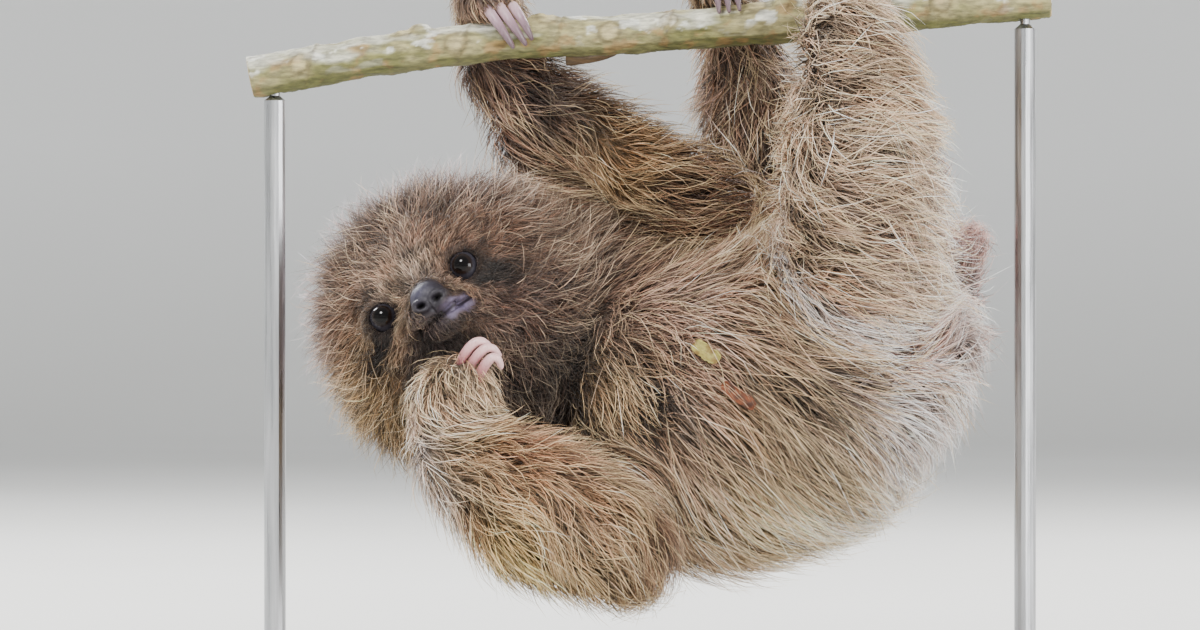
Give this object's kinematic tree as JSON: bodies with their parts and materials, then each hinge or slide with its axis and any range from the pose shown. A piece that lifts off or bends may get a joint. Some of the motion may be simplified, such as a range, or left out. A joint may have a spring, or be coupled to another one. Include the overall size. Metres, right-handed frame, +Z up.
{
  "type": "juvenile three-toed sloth model on a display perch",
  "caption": "Life-size still model of a young three-toed sloth hanging under a cut branch, one hand at its chin, on a flat base with upright rods.",
  "frame": {"origin": "middle of the display base's underside", "axes": "+Z up, +X from the head to the rump along the branch, -Y the animal's right side, toward the viewer"},
  "size_m": [0.27, 0.19, 0.2578],
  "materials": {
    "coat": "long coarse brown and straw-coloured fur over skin, pale at the tips and the rump, near black in the eye stripes and throat",
    "eye": "wet, near-black brown eyeball",
    "claw_horn": "smooth pale pink-lilac horn",
    "bark": "matte grey-olive bark with pale lichen patches",
    "stand_wood": "dark stained hardwood, satin lacquer",
    "stand_steel": "brushed steel, turned"
  },
  "bodies": {
    "root": {"head": "coat", "muzzle": "coat", "neck": "coat", "chest": "coat", "belly": "coat", "rump": "coat", "tail": "coat", "upper_arm_left": "coat", "forearm_left": "coat", "hand_left": "coat", "thigh_left": "coat", "shank_left": "coat", "foot_left": "coat", "upper_arm_right": "coat", "forearm_right": "coat", "hand_right": "coat", "thigh_right": "coat", "shank_right": "coat", "foot_right": "coat", "eye_left": "eye", "eye_right": "eye", "claw_hand_left_1": "claw_horn", "claw_hand_left_2": "claw_horn", "claw_hand_left_3": "claw_horn", "claw_hand_right_1": "claw_horn", "claw_hand_right_2": "claw_horn", "claw_hand_right_3": "claw_horn", "claw_foot_left_1": "claw_horn", "claw_foot_left_2": "claw_horn", "claw_foot_left_3": "claw_horn", "claw_foot_right_1": "claw_horn", "claw_foot_right_2": "claw_horn", "claw_foot_right_3": "claw_horn", "perch": "bark", "perch_twig": "bark", "stand_base": "stand_wood", "stand_rod_left": "stand_steel", "stand_rod_right": "stand_steel"}
  },
  "joints": []
}
